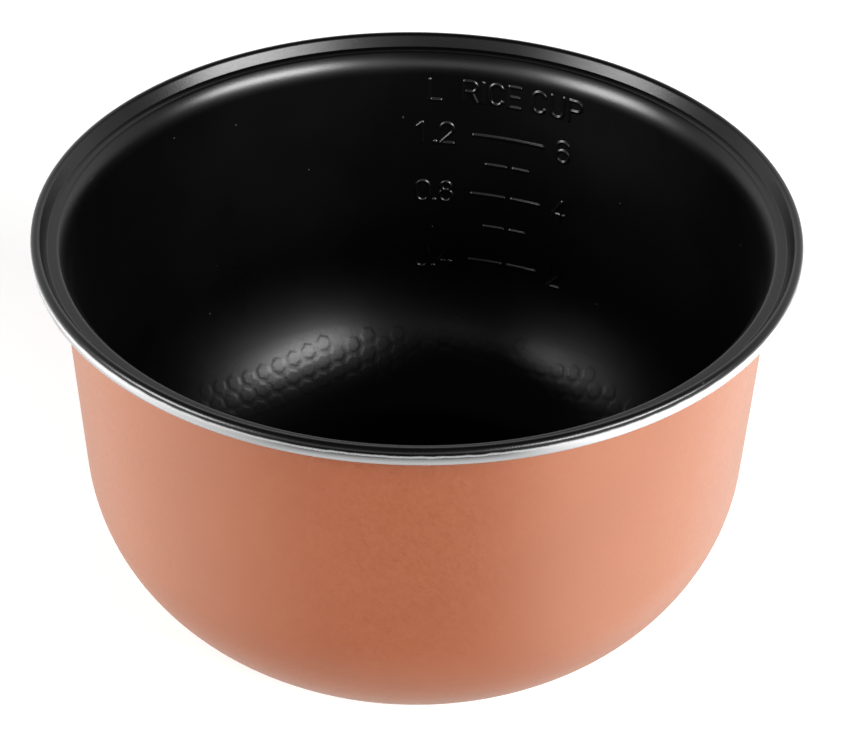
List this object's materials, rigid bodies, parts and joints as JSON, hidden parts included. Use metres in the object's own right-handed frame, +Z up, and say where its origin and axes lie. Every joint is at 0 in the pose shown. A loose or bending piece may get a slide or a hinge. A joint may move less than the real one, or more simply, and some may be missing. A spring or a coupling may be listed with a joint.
{
  "type": "rice cooker inner pot",
  "caption": "Round deep-drawn inner cooking pot of a rice cooker: stepped flange, dark non-stick inside with a raised water-level scale, copper-coloured outside.",
  "frame": {"origin": "centre of the flat contact face under the base", "axes": "+Z up along the pot's axis of revolution, +Y towards the water-level scale"},
  "size_m": [0.21, 0.21, 0.12],
  "materials": {
    "bare_aluminium": "turned, fine circular tool marks",
    "nonstick_black": "semi-gloss non-stick coating with a fine pebbled texture",
    "copper_coating": "satin metallic copper coating"
  },
  "bodies": {
    "root": {"pan_body": "bare_aluminium", "nonstick_lining": "nonstick_black", "outer_coating": "copper_coating"}
  },
  "joints": []
}
